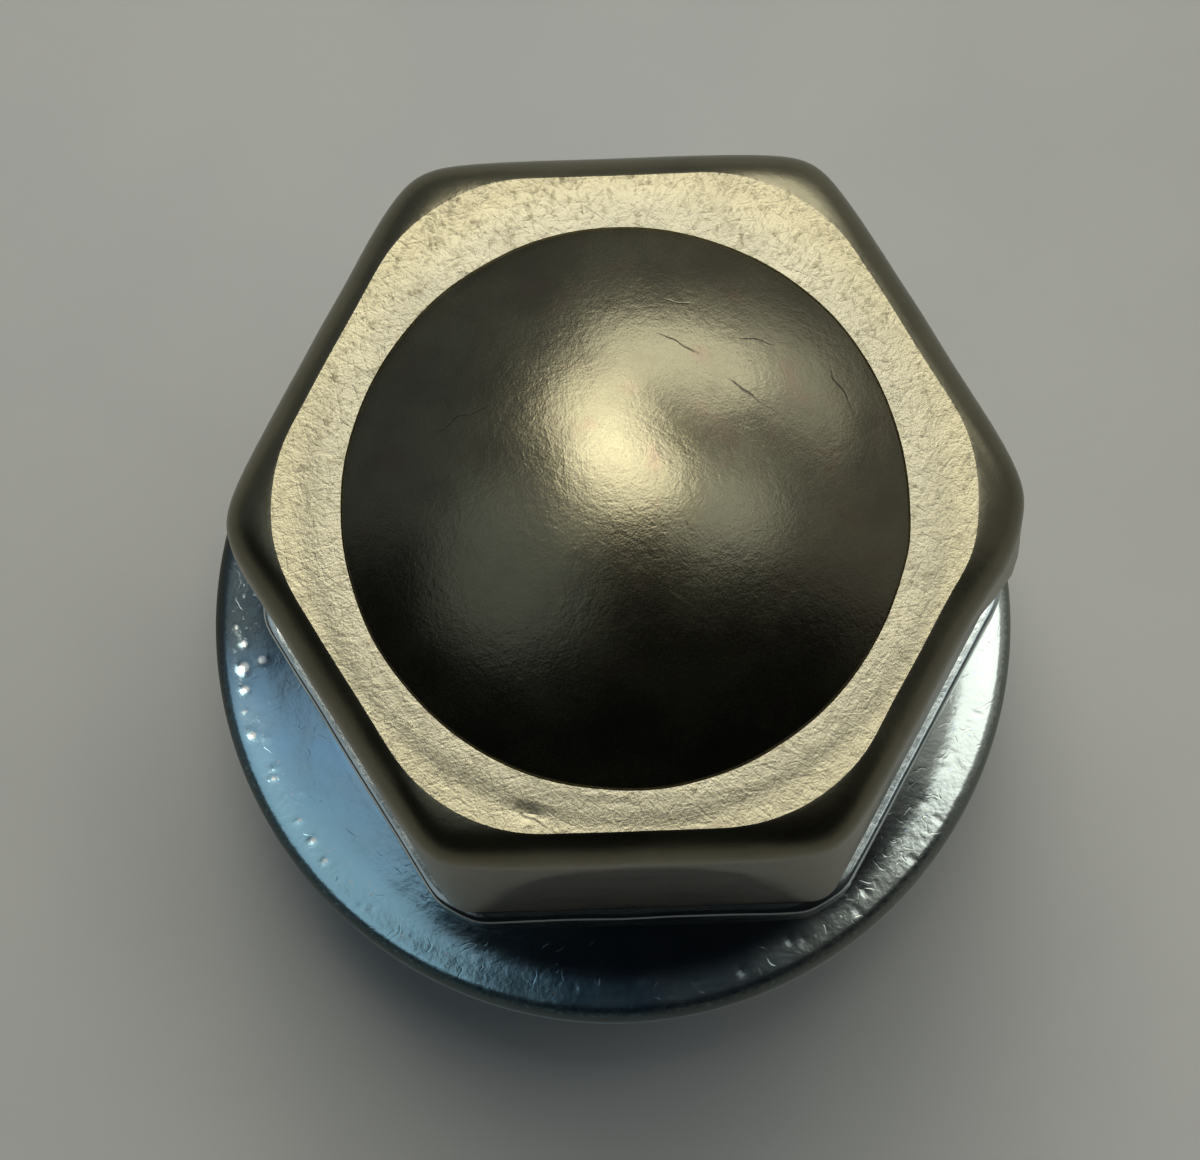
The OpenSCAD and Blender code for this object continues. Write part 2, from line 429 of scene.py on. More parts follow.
    def wear(self, place: Vector) -> Vector:
        """Returns how far drawing and handling have moved one point of the sheet."""
        x, y, z = place / MM
        reach = math.hypot(x, y)
        around = math.degrees(math.atan2(y, x))
        outward = Vector((x, y, 0)).normalized()
        shift = Vector((0, 0, 0))
        if z < self.foot_z + 3:
            corner = abs(around % 60 - 30) / 30
            shift.z += self.edge_rise * ease(0.25, 0.95, corner) * (1 - ease(self.foot_z, self.foot_z + 3, z))
        for bulge in self.bulges:
            shift += outward * bulge.push(around, z)
        if reach > self.dome_r + 0.3:
            lean = ease(self.foot_z, self.bend_z, z)
            edge = ease(self.bend_z, self.shoulder_z, z) * ease(self.dome_r, self.flat_half, reach)
            on_top = ease(self.dome_r, self.flat_half, reach) if z > self.shoulder_z - 0.001 else 1.0
            shift += (outward * (0.08 - 0.02 * edge) + Vector((0, 0.10 + 0.07 * edge, 0))) * lean * on_top
            shift.z -= 0.03 * on_top * edge * edge
            shift += outward * 0.022 * ripple(place, 1.7 * MM, 5.0) * ease(self.foot_z + 2, self.bend_z, z)
            shift.z += 0.012 * ripple(place, 2.2 * MM, 3.0) * ease(self.bend_z, self.shoulder_z, z) - 0.004
        elif z > self.shoulder_z - 0.3:
            shift += outward * 0.03 * ripple(Vector((x, y, 0)) * MM, 1.9 * MM, 7.0) * ease(5.5, 7.2, reach)
            shift.z += 0.014 * (1 - ease(0, self.dome_r, reach)) * ripple(place, 3.1 * MM, 9.0)
        if z > self.shoulder_z - 0.6:
            for dent in self.dents:
                shift.z -= dent.sink(x, y)
        return shift * MM

    def on_shoulder(self, place: Vector) -> float:
        """Returns 1 on the flat shoulder and 0 elsewhere."""
        on_top = abs(place.z / MM - self.shoulder_z) < 0.001
        return float(on_top and math.hypot(place.x, place.y) > (self.dome_r + 0.04) * MM)

    def painted_reflection_arch(self, place: Vector) -> float:
        """Returns 1 in a dark arch above the skirt's edge, the same on each flat, and 0 elsewhere: a painted
        reflection.
        """
        around = (math.atan2(place.y, place.x) + math.pi / 2 + math.pi / 6) % (math.pi / 3) - math.pi / 6
        along = abs(math.hypot(place.x, place.y) * math.sin(around)) / MM / self.arch_half
        up = (place.z / MM - self.foot_z) / self.arch_h
        return min(max((1 - along ** 3 - up) * 12, 0.0), 1.0)

    def build(self) -> bpy.types.Object:
        """Models the sheet and hands it to the frame."""
        piece = Workpiece(self.name)
        piece.stack(self.rings())
        piece.close_up()
        piece.mark("shoulder", self.on_shoulder)
        piece.mark("painted_reflection_arch", self.painted_reflection_arch)
        piece.sculpt(self.wear)
        piece.smooth(16)
        piece.obj.data.materials.append(SATIN_STEEL.material())
        return piece.deliver(Body.NUT, ["cap"])


@dataclass
class ConicalWasher:
    """The loose washer, in millimetres."""

    radius: float = 11.8
    height: float = 9.3
    face_r: float = 8.9
    rim_slope: float = 8.0
    flat_share: float = 0.12
    steep_share: float = 0.55
    rim_r: float = 0.5
    rim_top_z: float = 8.484
    rim_foot_z: float = 6.543
    seat_r: float = 8.1
    seat_in_r: float = 7.2
    bore_r: float = 8.1
    recess_r: float = 9.3
    recess_foot_z: float = 3.637
    ring_t: float = 2.3
    slip: Pair = (-0.63181, -0.30136)
    knocks: tuple[Triple, ...] = (
        (179.0, 11.12, 0.07), (181.6, 10.91, 0.11), (185.2, 10.98, 0.17), (184.5, 10.42, 0.14), (188.6, 11.03, 0.13),
        (192.0, 11.2, 0.08), (195.7, 11.15, 0.12), (203.1, 11.03, 0.08), (210.7, 10.96, 0.08), (214.5, 10.94, 0.11),
        (218.1, 11.05, 0.08), (326.6, 11.25, 0.07), (319.4, 11.3, 0.08), (308.1, 11.2, 0.08))
    steps: int = 900
    name: str = "conical_washer"

    def arc(self, x: float, z: float, start: float, end: float, steps: int) -> Profile:
        """Returns points of the rim's radius about (x, z), between two angles in degrees."""
        turns = [math.radians(mix(start, end, i / steps)) for i in range(steps + 1)]
        return [(x + self.rim_r * math.cos(t), z + self.rim_r * math.sin(t)) for t in turns]

    def line(self, start: Pair, end: Pair, steps: int) -> Profile:
        """Returns the points between two places on the profile, without its ends."""
        return [(mix(start[0], end[0], i / steps), mix(start[1], end[1], i / steps)) for i in range(1, steps)]

    def profile(self) -> Profile:
        """Draws the washer's section, outside first and from the seat's foot up."""
        mid_r = self.radius - self.rim_r
        seat = [(self.seat_in_r, 0.0), (self.seat_r - 0.12, 0.0), (self.seat_r + 0.07, 0.12)]
        rim = self.arc(mid_r, self.rim_foot_z, -30, 0, 4)
        edge = self.line(rim[-1], (self.radius, self.rim_top_z - self.rim_r), 3)
        top = self.arc(mid_r, self.rim_top_z - self.rim_r, 0, 90 - self.rim_slope, 9)
        width, drop = top[-1][0] - self.face_r, self.height - top[-1][1]
        start = math.tan(math.radians(self.rim_slope))
        gain = (drop / width - start) / (1 - (self.flat_share + self.steep_share) / 2)
        crown, x, z = [], *top[-1]
        for i in range(1, 22):
            x -= width / 22
            z += width / 22 * (start + gain * ease(self.flat_share, self.steep_share, (i - 0.5) / 22))
            crown.append((x, z))
        bore = [(self.face_r, self.height), (self.bore_r + 0.3, self.height), (self.bore_r + 0.08, self.height - 0.08),
                (self.bore_r, self.height - 0.3), (self.bore_r, self.height - self.ring_t),
                (self.recess_r, self.height - self.ring_t), (self.recess_r, self.recess_foot_z)]
        return seat + self.line(seat[-1], rim[0], 8) + rim + edge + top + crown + bore

    def dings(self) -> list[Dent]:
        """Places the deep knocks that ring the top just inside the rim, and strews light ones between them."""
        marks = [Dent(reach * math.cos(math.radians(turn)), reach * math.sin(math.radians(turn)), size, size * 0.32)
                 for turn, reach, size in self.knocks]
        for around, spread, count in ((200, 34, 16), (330, 26, 9), (265, 40, 6), (90, 90, 16)):
            for _ in range(count):
                turn = math.radians(DICE.gauss(around, spread))
                reach = DICE.gauss(10.85, 0.2)
                size = DICE.uniform(0.05, 0.11)
                marks.append(Dent(reach * math.cos(turn), reach * math.sin(turn), size, size * DICE.uniform(0.12, 0.3)))
        return marks

    def build(self) -> bpy.types.Object:
        """Models the washer and hands it to the frame."""
        piece = Workpiece(self.name)
        piece.lathe(self.profile(), self.steps)
        marks = self.dings()
        sectors: dict[int, list[Dent]] = {}
        for mark in marks:
            around = int(math.degrees(math.atan2(mark.y, mark.x)) // 10)
            for near in (around - 1, around, around + 1):
                sectors.setdefault(near % 36, []).append(mark)

        def wear(place: Vector) -> Vector:
            """Returns how far knocks and the washer's slip have moved one of its points."""
            x, y, z = place / MM
            shift = Vector((self.slip[0], self.slip[1], 0))
            if z > self.rim_top_z - self.rim_r and math.hypot(x, y) > self.face_r:
                around = int(math.degrees(math.atan2(y, x)) // 10) % 36
                shift.z -= sum(mark.sink(x, y) for mark in sectors.get(around, ()))
                shift.z += 0.008 * ripple(place, 1.3 * MM, 4.0) - 0.006
            return shift * MM

        def knocked(place: Vector) -> float:
            """Returns 1 in the middle of a deep knock, falling off to 0 around it."""
            x, y, z = place / MM
            if z < self.rim_top_z - self.rim_r or math.hypot(x, y) < 10:
                return 0.0
            return min(sum(mark.sink(x, y) / mark.depth for mark in marks[:len(self.knocks)]), 1.0)

        piece.mark("knocked", knocked)
        piece.sculpt(wear)
        piece.smooth(40)
        piece.obj.data.materials.append(BLUE_ZINC.material())
        return piece.deliver(Body.LOOSE_WASHER, ["washer"])


@dataclass
class ForgedNut:
    """The forged nut under the cap, in millimetres."""

    core_half: float = 8.67
    core_foot_r: float = 9.76
    core_head_r: float = 9.17
    core_bevel_z: float = 28.97
    core_top_z: float = 30.27
    hex_half: float = 9.5
    hex_turned_r: float = 10.6
    hex_z: float = 10.7
    ledge_z: float = 14.0
    ledge_round: float = 0.16
    collar_r: float = 9.0
    collar_z: float = 9.35
    shank_r: float = 7.3
    lip_r: float = 8.45
    lip_wall: float = 0.95
    lip_edge: float = 0.4
    lip_z: float = 5.15
    lip_top_z: float = 6.7
    thread_r: float = 6.0
    mouth_z: float = 6.35
    lead_in: float = 0.75
    steps: int = 360
    name: str = "forged_nut"

    def ring(self, radius: float, height: float, half: float | None = None) -> Ring:
        """Draws one ring: round, or a hexagon whose corners are turned down to the radius.

        Args:
            radius: radius of the round, or of the turned corners.
            height: its height.
            half: half the hexagon's size across flats, or nothing for a round ring.

        Returns:
            The closed ring's points, in metres.
        """
        points = []
        for i in range(self.steps):
            turn = 2 * math.pi * i / self.steps
            reach = radius
            if half is not None:
                off = (turn - math.pi / 2 + math.pi / 6) % (math.pi / 3) - math.pi / 6
                flat = half / math.cos(off)
                reach = (flat ** -160 + radius ** -160) ** (-1 / 160)
            points.append(Vector((reach * math.cos(turn), reach * math.sin(turn), height)) * MM)
        return points

    def rings(self) -> list[Ring]:
        """Draws the whole nut: up the threaded hole, over the core and down to the lip."""
        hex_foot_r = self.hex_half - 0.15
        chamfer = (self.hex_turned_r - hex_foot_r) * TAN30
        bore = [self.ring(self.thread_r, mix(self.mouth_z, self.core_top_z - self.lead_in, i / 10)) for i in range(11)]
        top = [self.ring(self.thread_r + self.lead_in, self.core_top_z),
               self.ring(self.core_head_r - 1.05, self.core_top_z, self.core_half),
               self.ring(self.core_head_r - 0.95, self.core_top_z - 0.08, self.core_half)]
        core = [self.ring(mix(self.core_head_r, self.core_foot_r, i / 12), mix(self.core_bevel_z, self.ledge_z, i / 12),
                          self.core_half) for i in range(13)]
        drive = []
        for i in range(7):
            turn = math.radians(15 * i)
            out, down = self.ledge_round * math.sin(turn), self.ledge_round * (1 - math.cos(turn))
            drive.append(self.ring(self.hex_turned_r - 2.2 * (self.ledge_round - out), self.ledge_z - down,
                                   self.hex_half - self.ledge_round + out))
        drive += [self.ring(self.hex_turned_r, mix(self.ledge_z - self.ledge_round, self.hex_z + chamfer, i / 10),
                            self.hex_half) for i in range(1, 11)]
        drive += [self.ring(mix(self.hex_turned_r, hex_foot_r, i / 18), self.hex_z + chamfer * (1 - i / 18),
                            self.hex_half) for i in range(1, 19)]
        under = [self.ring(radius, height) for radius, height in (
            (self.collar_r, self.hex_z), (self.collar_r, self.collar_z + 0.15),
            (self.collar_r - 0.05, self.collar_z + 0.05), (self.collar_r - 0.15, self.collar_z),
            (self.shank_r + 0.05, self.collar_z), (self.shank_r, self.collar_z - 0.05), (self.shank_r, self.lip_top_z),
            (self.lip_r, self.lip_z + self.lip_edge), (self.lip_r, self.lip_z + 0.15),
            (self.lip_r - 0.05, self.lip_z + 0.05), (self.lip_r - 0.15, self.lip_z),
            (self.lip_r - self.lip_wall, self.lip_z))]
        return bore + top + core + drive + under + [bore[0]]

    def wear(self, place: Vector) -> Vector:
        """Returns how far forging has moved one point of the uncovered hexagon."""
        if not self.hex_z + 0.9 < place.z / MM < self.ledge_z + 0.01 or math.hypot(place.x, place.y) < 9.3 * MM:
            return Vector((0, 0, 0))
        return Vector((place.x, place.y, 0)).normalized() * (0.025 * ripple(place, 1.5 * MM, 6.0) - 0.012) * MM

    def build(self) -> bpy.types.Object:
        """Models the nut and hands it to the frame."""
        piece = Workpiece(self.name)
        piece.stack(self.rings())
        piece.close_up()
        piece.sculpt(self.wear)
        piece.smooth(28)
        piece.obj.data.materials.append(PLATED_STEEL.material())
        return piece.deliver(Body.NUT, ["nut_body"])


@dataclass
class StudThread:
    """The ridges of the M12 x 1.5 right-hand thread inside the nut, in millimetres."""

    major_r: float = 6.0
    minor_r: float = 5.19
    pitch: float = 1.5
    low_z: float = 7.1
    high_z: float = 29.3
    root_half: float = 0.656
    crest_half: float = 0.19
    steps: int = 48
    name: str = "stud_thread"

    def build(self) -> bpy.types.Object:
        """Models the ridges and hands them to the frame."""
        turns = (self.high_z - self.low_z) / self.pitch
        piece = Workpiece(self.name)
        piece.only()
        bpy.ops.mesh.primitive_plane_add(size=MM)
        piece.take()
        piece.edit()
        mesh = bmesh.from_edit_mesh(piece.obj.data)
        mesh.verts.ensure_lookup_table()
        corners = [(self.major_r + 0.02, -self.root_half), (self.major_r + 0.02, self.root_half),
                   (self.minor_r, self.crest_half), (self.minor_r, -self.crest_half)]
        loop = mesh.faces[:][0]
        for corner, (radius, height) in zip(list(loop.verts), corners):
            corner.co = Vector((radius * MM, 0, (self.low_z + height) * MM))
        bmesh.update_edit_mesh(piece.obj.data)
        piece.only()
        screw = piece.obj.modifiers.new("screw", "SCREW")
        screw.axis = "Z"
        screw.angle = 2 * math.pi * turns
        screw.screw_offset = self.pitch * turns * MM
        screw.steps = screw.render_steps = int(self.steps * turns)
        screw.use_merge_vertices = False
        screw.use_normal_calculate = True
        bpy.ops.object.modifier_apply(modifier=screw.name)
        piece.edit()
        piece.close_up()
        piece.smooth(35)
        piece.obj.data.materials.append(PLATED_STEEL.material())
        return piece.deliver(Body.NUT)


# ---------------------------------------------------------------- finishes


class Tree:
    """Adds nodes to one node tree."""

    def __init__(self, tree: bpy.types.NodeTree) -> None:
        """Keeps the tree."""
        self.tree = tree

    def feed(self, socket: Socket, value: object) -> None:
        """Puts a link or a plain value into a socket."""
        if isinstance(value, Socket):
            self.tree.links.new(value, socket)
        else:
            socket.default_value = value

    def calc(self, kind: str, *values: object, clamp: bool = False) -> Socket:
        """Works out one sum.

        Args:
            kind: Blender's name for the operation.
            *values: links or numbers that it works on.
            clamp: whether the result stays within 0 and 1.

        Returns:
            The result's socket.
        """
        node = self.tree.nodes.new("ShaderNodeMath")
        node.operation = kind
        node.use_clamp = clamp
        for socket, value in zip(node.inputs, values):
            self.feed(socket, value)
        return node.outputs[0]

    def ramp(self, value: Socket, start: float, end: float, low: float = 0.0,
             high: float = 1.0) -> Socket:
        """Maps a value's span from start to end smoothly onto low to high."""
        node = self.tree.nodes.new("ShaderNodeMapRange")
        node.interpolation_type = "SMOOTHSTEP"
        self.feed(node.inputs["Value"], value)
        for name, number in (("From Min", start), ("From Max", end), ("To Min", low), ("To Max", high)):
            node.inputs[name].default_value = number
        return node.outputs[0]

    def blend(self, share: object, start: object, end: object) -> Socket:
        """Mixes two colours by a share."""
        node = self.tree.nodes.new("ShaderNodeMix")
        node.data_type = "RGBA"
        self.feed(node.inputs["Factor"], share)
        for socket, value in ((node.inputs[6], start), (node.inputs[7], end)):
            self.feed(socket, (*value, 1) if isinstance(value, tuple) else value)
        return node.outputs[2]

    def total(self, values: Iterable[object]) -> Socket:
        """Adds up values."""
        result, *others = values
        for value in others:
            result = self.calc("ADD", result, value)
        return result

    def scaled(self, value: Socket, factor: object) -> Socket:
        """Multiplies a value."""
        return self.calc("MULTIPLY", value, factor)

    def swing(self, cloud: Socket, size: float) -> Socket:
        """Turns a cloudy value about 0.5 into one about 0, and scales it."""
        return self.scaled(self.calc("SUBTRACT", cloud, 0.5), size)

    def length(self, x: Socket, y: Socket) -> Socket:
        """Returns how far a place lies from an upright axis."""
        return self.calc("SQRT", self.calc("ADD", self.calc("MULTIPLY", x, x), self.calc("MULTIPLY", y, y)))

    def split(self, vector: Socket) -> list[Socket]:
        """Takes a vector apart into X, Y and Z."""
        node = self.tree.nodes.new("ShaderNodeSeparateXYZ")
        self.feed(node.inputs[0], vector)
        return list(node.outputs)


class Nodes(Tree):
    """Builds one material's node tree over places in millimetres."""

    def __init__(self, name: str) -> None:
        """Starts a material that holds its shader, its output and the place that is shaded."""
        self.mat = bpy.data.materials.new(name)
        self.mat.use_nodes = True
        super().__init__(self.mat.node_tree)
        self.shader = self.tree.nodes["Principled BSDF"]
        self.place = self.tree.nodes.new("ShaderNodeTexCoord").outputs["Object"]
        self.place = self.moved("POINT", Scale=(1 / MM, 1 / MM, 1 / MM))
        self.x, self.y, self.z = self.split(self.place)

    def moved(self, kind: str, **settings: Sequence[float]) -> Socket:
        """Moves, turns and scales the place that is shaded, with a mapping of a kind."""
        move = self.tree.nodes.new("ShaderNodeMapping")
        move.vector_type = kind
        for name, value in settings.items():
            move.inputs[name].default_value = value
        self.feed(move.inputs["Vector"], self.place)
        return move.outputs[0]

    def cloud(self, place: Socket, scale: float, detail: float, wander: float) -> Socket:
        """Makes a cloudy value about 0.5 over the places given."""
        node = self.tree.nodes.new("ShaderNodeTexNoise")
        self.feed(node.inputs["Vector"], place)
        for name, value in (("Scale", scale), ("Detail", detail), ("Distortion", wander)):
            node.inputs[name].default_value = value
        return node.outputs["Fac"]

    def attribute(self, name: str) -> Socket:
        """Reads a value that is stored at the piece's points."""
        node = self.tree.nodes.new("ShaderNodeAttribute")
        node.attribute_name = name
        return node.outputs["Fac"]

    def noise(self, scale: float, detail: float = 2.0, shift: float = 0.0,
              stretch: Triple = (1, 1, 1), wander: float = 0.0) -> Socket:
        """Makes a cloudy value about 0.5.

        Args:
            scale: lumps per millimetre.
            detail: how many finer layers it has.
            shift: moves it, so that two clouds differ.
            stretch: how much denser it is along each axis.
            wander: how far it is distorted.

        Returns:
            The value's socket.
        """
        place = self.moved("POINT", Location=(shift, shift * 0.7, shift * 1.3), Scale=stretch)
        return self.cloud(place, scale, detail, wander)

    def strokes(self, scale: float, width: float, shift: float = 0.0) -> Socket:
        """Draws short crooked strokes, 1 in their middle: the level lines of a cloud, broken up by another."""
        level = self.calc("ABSOLUTE", self.calc("SUBTRACT", self.noise(scale, 1.0, shift, wander=0.6), 0.5))
        line = self.ramp(level, 0.0, width, 1.0, 0.0)
        return self.calc("MULTIPLY", line, self.ramp(self.noise(scale * 1.3, 0.0, shift + 31), 0.5, 0.62))

    def dashes(self, scale: float, shift: float = 0.0) -> Socket:
        """Strews short straight dashes that lie four ways, 1 in their middle, as seen from above.

        Args:
            scale: dashes per millimetre, across them.
            shift: moves them, so that two sets differ.

        Returns:
            The value's socket.
        """
        dashes = []
        for turn in (10, 55, 100, 145):
            place = self.moved("TEXTURE", Location=(shift + turn, 3.1 * shift, 0), Scale=(4, 1, 2),
                               Rotation=(0, 0, math.radians(turn)))
            dashes.append(self.ramp(self.cloud(place, scale, 0.0, 0.25), 0.60, 0.72))
        return self.total(dashes)

    def scratch(self, start: Pair, end: Pair, width: float) -> Socket:
        """Draws one straight scratch seen from above, 1 in its middle."""
        length = math.dist(start, end)
        along = ((end[0] - start[0]) / length, (end[1] - start[1]) / length)
        dx, dy = self.calc("SUBTRACT", self.x, start[0]), self.calc("SUBTRACT", self.y, start[1])
        wobble = self.swing(self.noise(1.6, 1.0, start[0]), 0.35)
        run = self.calc("ADD", self.calc("MULTIPLY", dx, along[0]), self.calc("MULTIPLY", dy, along[1]))
        off = self.calc("SUBTRACT", self.calc("MULTIPLY", dy, along[0]), self.calc("MULTIPLY", dx, along[1]))
        off = self.calc("ABSOLUTE", self.calc("ADD", off, wobble))
        ends = self.calc("MULTIPLY", self.ramp(run, 0, length * 0.3), self.ramp(run, length * 0.6, length, 1.0, 0.0))
        return self.calc("MULTIPLY", self.ramp(off, 0.0, width, 1.0, 0.0), ends)

    def finish(self, colour: object, metallic: object, roughness: object,
               height: Socket) -> bpy.types.Material:
        """Feeds the shader.

        Args:
            colour: base colour.
            metallic: share of metal.
            roughness: roughness.
            height: relief in micrometres.

        Returns:
            The finished material.
        """
        self.feed(self.shader.inputs["Base Color"], colour)
        self.feed(self.shader.inputs["Metallic"], metallic)
        self.feed(self.shader.inputs["Roughness"], roughness)
        bump = self.tree.nodes.new("ShaderNodeBump")
        bump.inputs["Distance"].default_value = 1e-6
        self.feed(bump.inputs["Height"], height)
        self.feed(self.shader.inputs["Normal"], bump.outputs[0])
        return self.mat


@dataclass(frozen=True)
class SatinSteel:
    """Satin drawn stainless sheet, with a coarse grain on the shoulder.

    Its dark arches are a painted reflection; its shoulder and walls are painted paler towards -Y and its walls darker
    towards +Y, as painted light and shade.
    """

    colour: Triple = (0.175, 0.165, 0.112)
    pale: Triple = (0.235, 0.218, 0.15)
    # Darker tone of the clouds, also the painted shade of the walls towards +Y.
    dark: Triple = (0.152, 0.142, 0.098)
    # Paler tone of the walls towards -Y, a painted reflection.
    wall: Triple = (0.235, 0.22, 0.165)
    roughness: float = 0.31
    shoulder_z: float = 30.8
    dome_r: float = 7.3

    def material(self) -> bpy.types.Material:
        """Builds the finish's node material."""
        n = Nodes("satin_steel")
        reach = n.length(n.x, n.y)
        shoulder = n.attribute("shoulder")
        dome = n.scaled(n.ramp(reach, self.dome_r - 0.1, self.dome_r, 1.0, 0.0),
                        n.ramp(n.z, self.shoulder_z - 0.2, self.shoulder_z))
        # The walls under the bend, which carry painted light and shade and a little more roughness.
        wall = n.ramp(n.z, self.shoulder_z - 1.3, self.shoulder_z - 0.7, 1.0, 0.0)
        worms = n.calc("SUBTRACT", n.calc("ADD", n.dashes(9.0), n.scaled(n.strokes(2.6, 0.03), 0.6)), n.dashes(8.0, 11))
        fine = n.noise(16.0, 3.0, 2)
        clouds = n.noise(0.55, 4.0, 5)
        scratches = n.total([n.scratch(a, b, w) for a, b, w in (
            ((0.9, 4.3), (2.2, 3.5), 0.035), ((2.7, 3.0), (3.6, 2.2), 0.04), ((-4.9, 1.9), (-3.2, 2.6), 0.03),
            ((5.3, 3.4), (6.1, 2.0), 0.035), ((1.1, 5.2), (2.0, 5.0), 0.03), ((3.0, 4.1), (4.1, 3.9), 0.035),
            ((-3.1, -7.75), (-2.2, -8.25), 0.05))])
        relief = n.total([
            n.scaled(worms, n.calc("ADD", n.scaled(shoulder, 0.9), n.calc("ADD", n.scaled(dome, 0.25), 0.3))),
            n.scaled(fine, n.calc("ADD", n.scaled(shoulder, 3.5), n.scaled(dome, 2.0))), n.scaled(fine, 2.0),
            n.scaled(n.noise(3.2, 2.0, 8), 6.0), n.scaled(scratches, -5.0)])
        tone = n.blend(n.ramp(clouds, 0.35, 0.65), self.dark, self.colour)
        warm = n.ramp(n.noise(0.9, 3.0, 21), 0.58, 0.72)
        tone = n.blend(n.scaled(warm, n.scaled(dome, 0.35)), tone, (0.19, 0.13, 0.10))
        tone = n.blend(n.scaled(shoulder, n.ramp(fine, 0.2, 0.6, 0.4, 1.0)), tone,
                       n.blend(n.ramp(reach, self.dome_r + 0.2, self.dome_r + 1.6), (0.22, 0.212, 0.165), self.pale))
        tone = n.blend(n.scaled(n.calc("MAXIMUM", worms, 0.0), n.scaled(shoulder, 0.3)), tone, (0.10, 0.09, 0.06))
        # Painted light: the shoulder is paler towards -Y.
        tone = n.blend(n.ramp(n.y, 9.0, -9.0, 0.0, 0.3), tone, n.blend(shoulder, tone, (0.36, 0.34, 0.25)))
        # Painted reflection and shade: the walls are paler towards -Y and darker towards +Y.
        tone = n.blend(n.scaled(wall, 0.6), tone, n.blend(n.ramp(n.y, 1.0, 6.0), self.wall, self.dark))
        tone = n.blend(n.calc("MULTIPLY", scratches, 0.85, clamp=True), tone, (0.05, 0.045, 0.04))
        # Painted reflection: a darker, smoother arch with a duller specular tint on each flat.
        painted_reflection_arch = n.attribute("painted_reflection_arch")
        tone = n.blend(n.scaled(painted_reflection_arch, 0.5), tone, (0.12, 0.12, 0.112))
        # Dark blotches, strongest at the skirt's lower edge and fading upwards.
        low_blotches = n.scaled(n.ramp(n.noise(1.1, 5.0, 14), 0.52, 0.72), n.ramp(n.z, 14.2, 16.5, 0.8, 0.1))
        tone = n.blend(low_blotches, tone, (0.05, 0.04, 0.03))
        rough = n.total([self.roughness, n.swing(clouds, 0.12), n.scaled(shoulder, 0.05), n.scaled(painted_reflection_arch, -0.05),
                         n.scaled(dome, -0.05), n.scaled(wall, 0.04), n.swing(fine, 0.1)])
        n.feed(n.shader.inputs["Specular Tint"], n.blend(painted_reflection_arch, (1.0, 1.0, 1.0), (0.64, 0.64, 0.65)))
        return n.finish(tone, 1.0, rough, relief)


